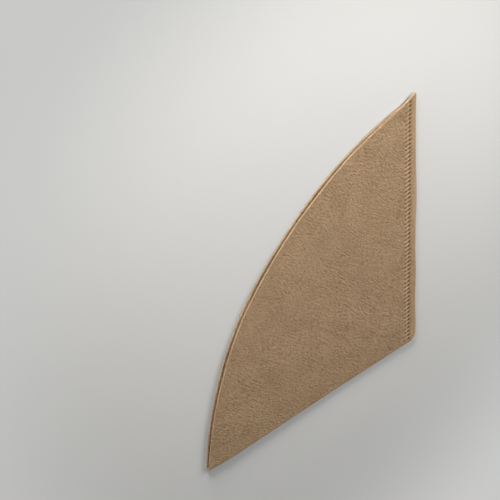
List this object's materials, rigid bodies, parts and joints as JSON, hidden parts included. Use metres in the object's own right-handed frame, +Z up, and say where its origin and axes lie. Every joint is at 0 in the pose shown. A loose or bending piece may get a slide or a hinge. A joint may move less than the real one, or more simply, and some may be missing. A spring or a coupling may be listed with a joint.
{
  "type": "paper coffee filter",
  "caption": "Cone coffee filter of brown creped paper, folded flat: two plies that share one fold, a crimped seam on the other straight side and a round open mouth.",
  "frame": {"origin": "middle of the underside's bounding rectangle, on the surface that the filter lies on", "axes": "+Z up, out of the face with the raised crimps; +X along the crimped seam, from the cone's tip to the mouth; +Y along the fold, from the tip to the mouth"},
  "size_m": [0.1284, 0.12, 0.0024],
  "materials": {
    "brown_paper": "unbleached creped filter paper, matte"
  },
  "bodies": {
    "root": {"filter_paper": "brown_paper"}
  },
  "joints": []
}
